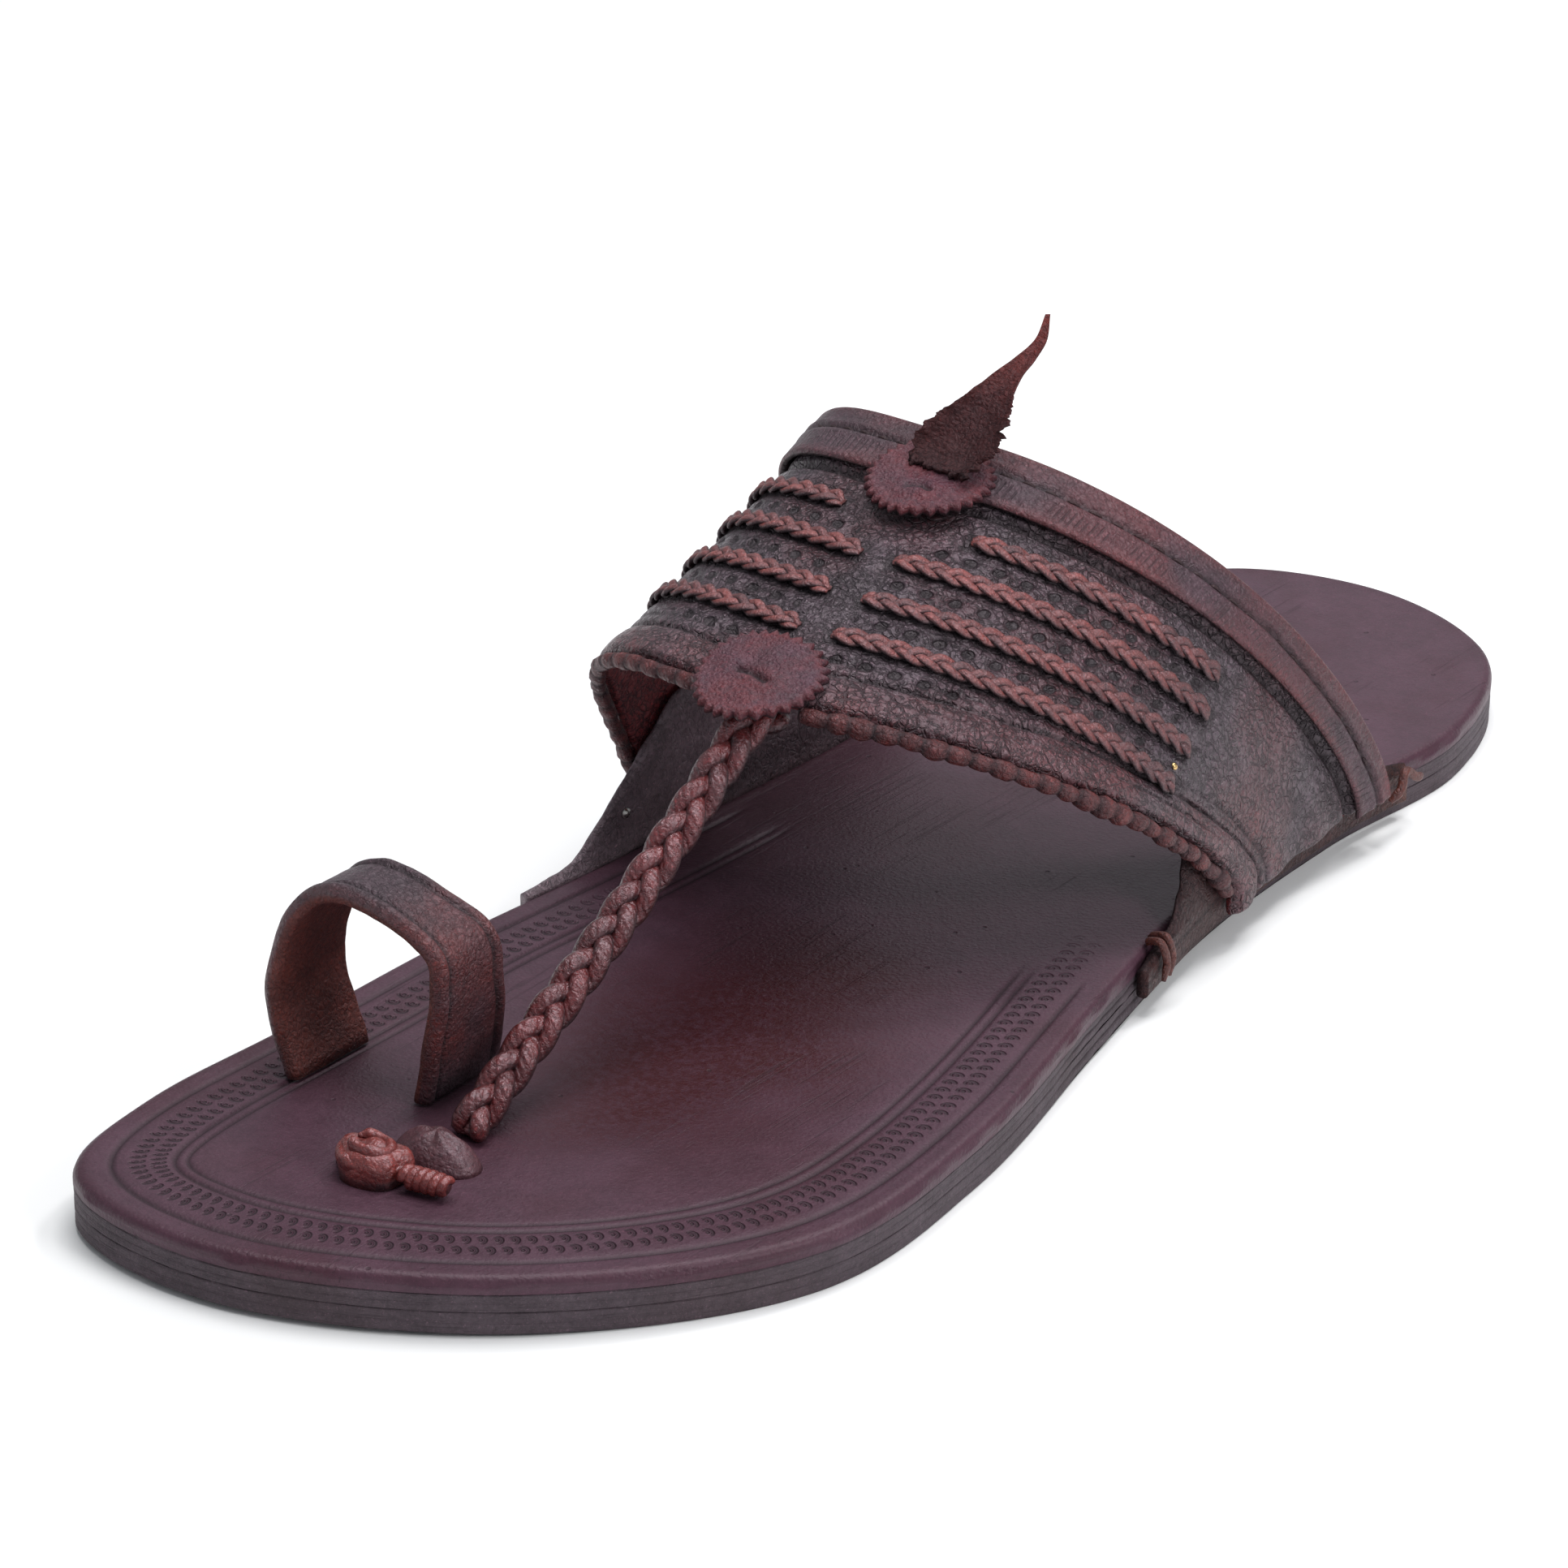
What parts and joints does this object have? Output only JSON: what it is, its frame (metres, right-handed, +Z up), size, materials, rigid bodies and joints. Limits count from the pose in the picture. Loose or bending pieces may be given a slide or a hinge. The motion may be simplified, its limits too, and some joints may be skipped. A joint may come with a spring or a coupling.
{
  "type": "kolhapuri sandal",
  "caption": "Left leather sandal with a layered flat sole, a wide instep band with flat plaits and rosettes, a plaited toe strap and a big toe loop.",
  "frame": {"origin": "middle of the whole sandal's box at floor level", "axes": "+Z up, +Y towards the toe, +X towards the big toe's side of the left foot"},
  "size_m": [0.1041, 0.2844, 0.0876],
  "materials": {
    "footbed": "smooth, waxed mauve brown with tooled borders",
    "sole_edge": "cut and burnished layers, matt dark brown",
    "band": "fine cracked grain, dark mauve brown",
    "strap": "worn edges, dark red brown",
    "trim": "reddish brown, half matt",
    "braid": "flat reddish plait, half matt"
  },
  "bodies": {
    "root": {"outsole": "sole_edge", "midsole": "sole_edge", "footbed": "footbed", "upper_band": "band", "collar_strip": "strap", "ear_outer": "strap", "ear_inner": "strap", "edge_roll_outer": "trim", "edge_roll_inner": "trim", "braid_outer_1": "braid", "braid_outer_2": "braid", "braid_outer_3": "braid", "braid_outer_4": "braid", "braid_inner_1": "braid", "braid_inner_2": "braid", "braid_inner_3": "braid", "braid_inner_4": "braid", "rosette_front": "trim", "rosette_rear": "trim", "curled_leaf": "trim", "toe_cord": "trim", "toe_loop": "strap", "root_mound": "strap", "toe_knot": "trim", "knot_coil": "trim"}
  },
  "joints": []
}
